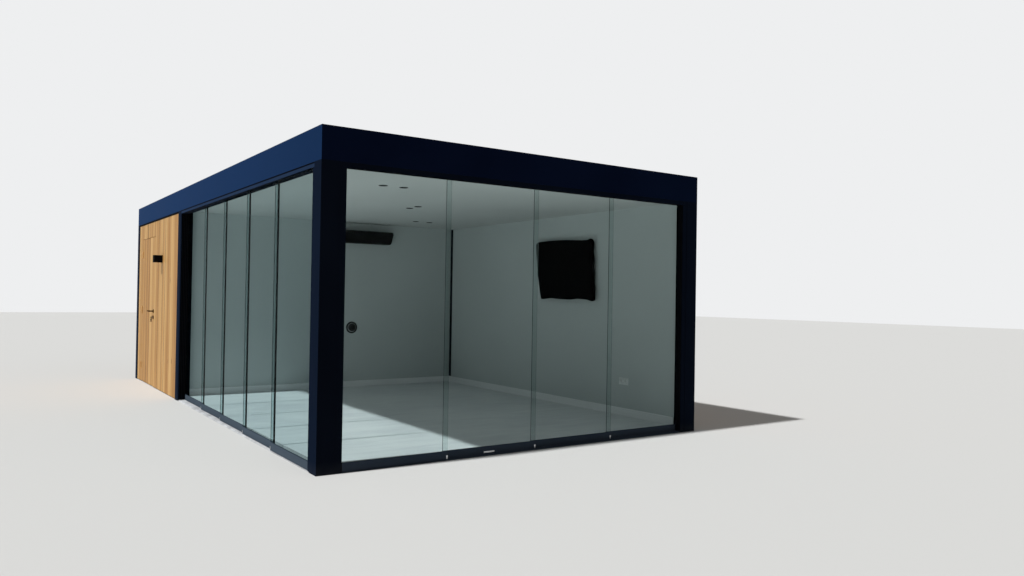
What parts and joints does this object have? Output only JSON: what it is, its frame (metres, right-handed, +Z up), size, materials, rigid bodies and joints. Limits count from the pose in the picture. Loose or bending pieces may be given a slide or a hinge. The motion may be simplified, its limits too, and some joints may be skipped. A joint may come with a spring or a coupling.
{
  "type": "garden office pod",
  "caption": "Flat-roofed garden office pod with a glass-walled lounge and a timber-clad storage room behind it. Its glass panels slide and its storage door swings.",
  "frame": {"origin": "on the ground at the middle of the footprint, without the lamp and the door lever, which stand proud of the left side", "axes": "+Y from the glass front to the rear, +X to the right as seen from the front, +Z up"},
  "size_m": [4.274, 7.99, 2.7],
  "materials": {
    "frame_metal": "satin powder coat",
    "sill_metal": "natural anodised",
    "timber_boards": "oiled",
    "clear_glass": "clear",
    "white_wall": "matt paint",
    "floor": "matt",
    "deck_board": "raw",
    "roof_membrane": "matt",
    "black_plastic": "satin",
    "black_cover": "matt",
    "brushed_metal": "dark bronze, brushed"
  },
  "bodies": {
    "pod": {"floor_slab": "floor", "posts": "frame_metal", "fascia_front": "frame_metal", "fascia_left": "frame_metal", "fascia_right": "frame_metal", "fascia_rear": "frame_metal", "roof_deck": "deck_board", "roof_membrane": "roof_membrane", "roof_outlet": "black_plastic", "ceiling": "white_wall", "front_top_track": "frame_metal", "front_sill": "sill_metal", "left_top_track": "frame_metal", "left_sill": "sill_metal", "side_profiles": "frame_metal", "front_glass_4": "clear_glass", "front_rail_4": "frame_metal", "left_glass_5": "clear_glass", "left_rail_5": "frame_metal", "partition": "white_wall", "left_wall_near": "white_wall", "left_wall_far": "white_wall", "left_wall_over": "white_wall", "right_wall": "white_wall", "rear_wall": "white_wall", "left_cladding": "timber_boards", "right_cladding": "timber_boards", "rear_cladding": "timber_boards", "head_strips": "frame_metal", "skirting": "white_wall", "door_frame": "frame_metal", "wall_lamp": "black_plastic", "air_unit": "black_plastic", "wall_screen": "black_cover", "downlights": "black_plastic"},
    "front_panel_1": {"front_glass_1": "clear_glass", "front_rail_1": "frame_metal"},
    "front_panel_2": {"front_glass_2": "clear_glass", "front_rail_2": "frame_metal"},
    "front_panel_3": {"front_glass_3": "clear_glass", "front_rail_3": "frame_metal"},
    "left_panel_1": {"left_glass_1": "clear_glass", "left_rail_1": "frame_metal"},
    "left_panel_2": {"left_glass_2": "clear_glass", "left_rail_2": "frame_metal"},
    "left_panel_3": {"left_glass_3": "clear_glass", "left_rail_3": "frame_metal"},
    "left_panel_4": {"left_glass_4": "clear_glass", "left_rail_4": "frame_metal"},
    "storage_leaf": {"storage_door": "timber_boards", "door_rosettes": "brushed_metal"},
    "lever": {"door_lever": "brushed_metal"}
  },
  "joints": [
    {"name": "front_slide_1", "type": "slide", "parent": "pod", "child": "front_panel_1", "axis": [1, 0, 0], "range_m": [0, 2.76]},
    {"name": "front_slide_2", "type": "slide", "parent": "pod", "child": "front_panel_2", "axis": [1, 0, 0], "range_m": [0, 1.84]},
    {"name": "front_slide_3", "type": "slide", "parent": "pod", "child": "front_panel_3", "axis": [1, 0, 0], "range_m": [0, 0.92]},
    {"name": "left_slide_1", "type": "slide", "parent": "pod", "child": "left_panel_1", "axis": [0, 1, 0], "range_m": [0, 3.6672]},
    {"name": "left_slide_2", "type": "slide", "parent": "pod", "child": "left_panel_2", "axis": [0, 1, 0], "range_m": [0, 2.7504]},
    {"name": "left_slide_3", "type": "slide", "parent": "pod", "child": "left_panel_3", "axis": [0, 1, 0], "range_m": [0, 1.8336]},
    {"name": "left_slide_4", "type": "slide", "parent": "pod", "child": "left_panel_4", "axis": [0, 1, 0], "range_m": [0, 0.9168]},
    {"name": "storage_door_hinge", "type": "hinge", "parent": "pod", "child": "storage_leaf", "pos_m": [-2.086, 3.535, 1.1], "axis": [0, 0, -1], "range_deg": [0, 100]},
    {"name": "lever_turn", "type": "hinge", "parent": "storage_leaf", "child": "lever", "pos_m": [-2.079, 2.635, 1.1], "axis": [-1, 0, 0], "range_deg": [0, 45], "stiffness_Nm_per_rad": 0.8, "springref_deg": -28.65}
  ],
  "couplings": [
    {"joint": "front_slide_2", "follows": "front_slide_1", "ratio": 0.66667},
    {"joint": "front_slide_3", "follows": "front_slide_1", "ratio": 0.33333},
    {"joint": "left_slide_2", "follows": "left_slide_1", "ratio": 0.75},
    {"joint": "left_slide_3", "follows": "left_slide_1", "ratio": 0.5},
    {"joint": "left_slide_4", "follows": "left_slide_1", "ratio": 0.25}
  ]
}
